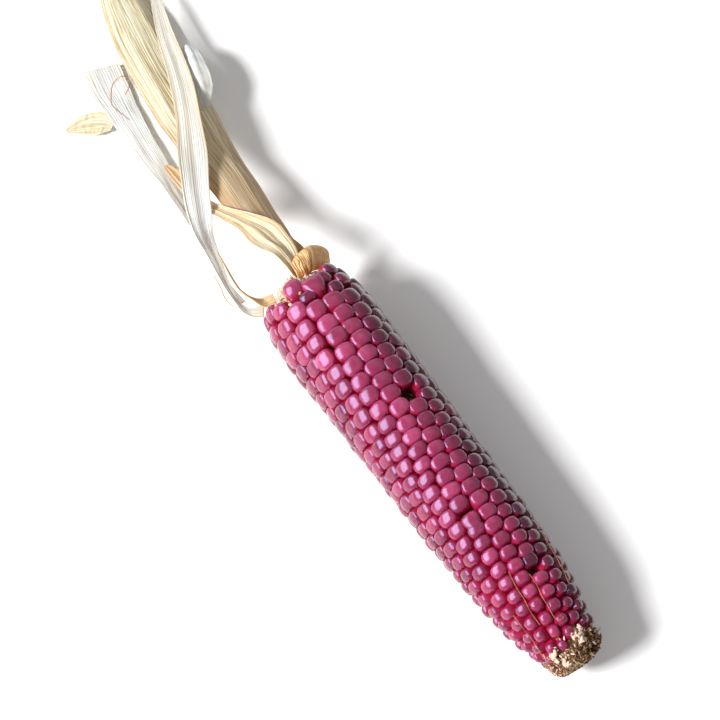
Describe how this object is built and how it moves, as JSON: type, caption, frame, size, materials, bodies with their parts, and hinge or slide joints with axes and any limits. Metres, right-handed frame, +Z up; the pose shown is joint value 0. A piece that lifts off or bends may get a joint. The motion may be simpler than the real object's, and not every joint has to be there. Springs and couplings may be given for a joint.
{
  "type": "corn cob",
  "caption": "Dried ear of purple-pink popping corn lying on its side, with glossy kernels in slightly spiralling rows, a chaffy tip and peeled-back papery husk leaves.",
  "frame": {"origin": "middle of the underside of the whole object's box, on the surface that the ear lies on", "axes": "+X along the ear from its husk end to its tip, +Z up, +Y to the left seen from the husk end looking towards the tip"},
  "size_m": [0.3062, 0.0556, 0.035],
  "materials": {
    "kernel": "glossy translucent kernel skin, pink-magenta to dark purple",
    "cob": "dry woody pith, matt",
    "chaff": "dry crumbly chaff, matt",
    "silk": "dry brown silk thread",
    "husk_tan": "dry ribbed leaf, golden tan",
    "husk_cream": "dry ribbed leaf, cream with golden creases",
    "husk_pale": "dry ribbed leaf, pale cream to white"
  },
  "bodies": {
    "root": {"kernel_row_01": "kernel", "kernel_row_02": "kernel", "kernel_row_03": "kernel", "kernel_row_04": "kernel", "kernel_row_05": "kernel", "kernel_row_06": "kernel", "kernel_row_07": "kernel", "kernel_row_08": "kernel", "kernel_row_09": "kernel", "kernel_row_10": "kernel", "kernel_row_11": "kernel", "kernel_row_12": "kernel", "kernel_row_13": "kernel", "kernel_row_14": "kernel", "kernel_row_15": "kernel", "kernel_row_16": "kernel", "cob": "cob", "tip_chaff": "chaff", "silk_right": "silk", "silk_upper": "silk", "silk_middle": "silk", "silk_lower": "silk", "silk_hook": "silk", "husk_thread": "silk", "husk_main": "husk_tan", "husk_cuff": "husk_tan", "husk_blade": "husk_tan", "husk_twisted": "husk_cream", "husk_ribbon": "husk_pale", "husk_left": "husk_pale", "husk_curl": "husk_pale", "husk_under_tip": "husk_pale"}
  },
  "joints": []
}
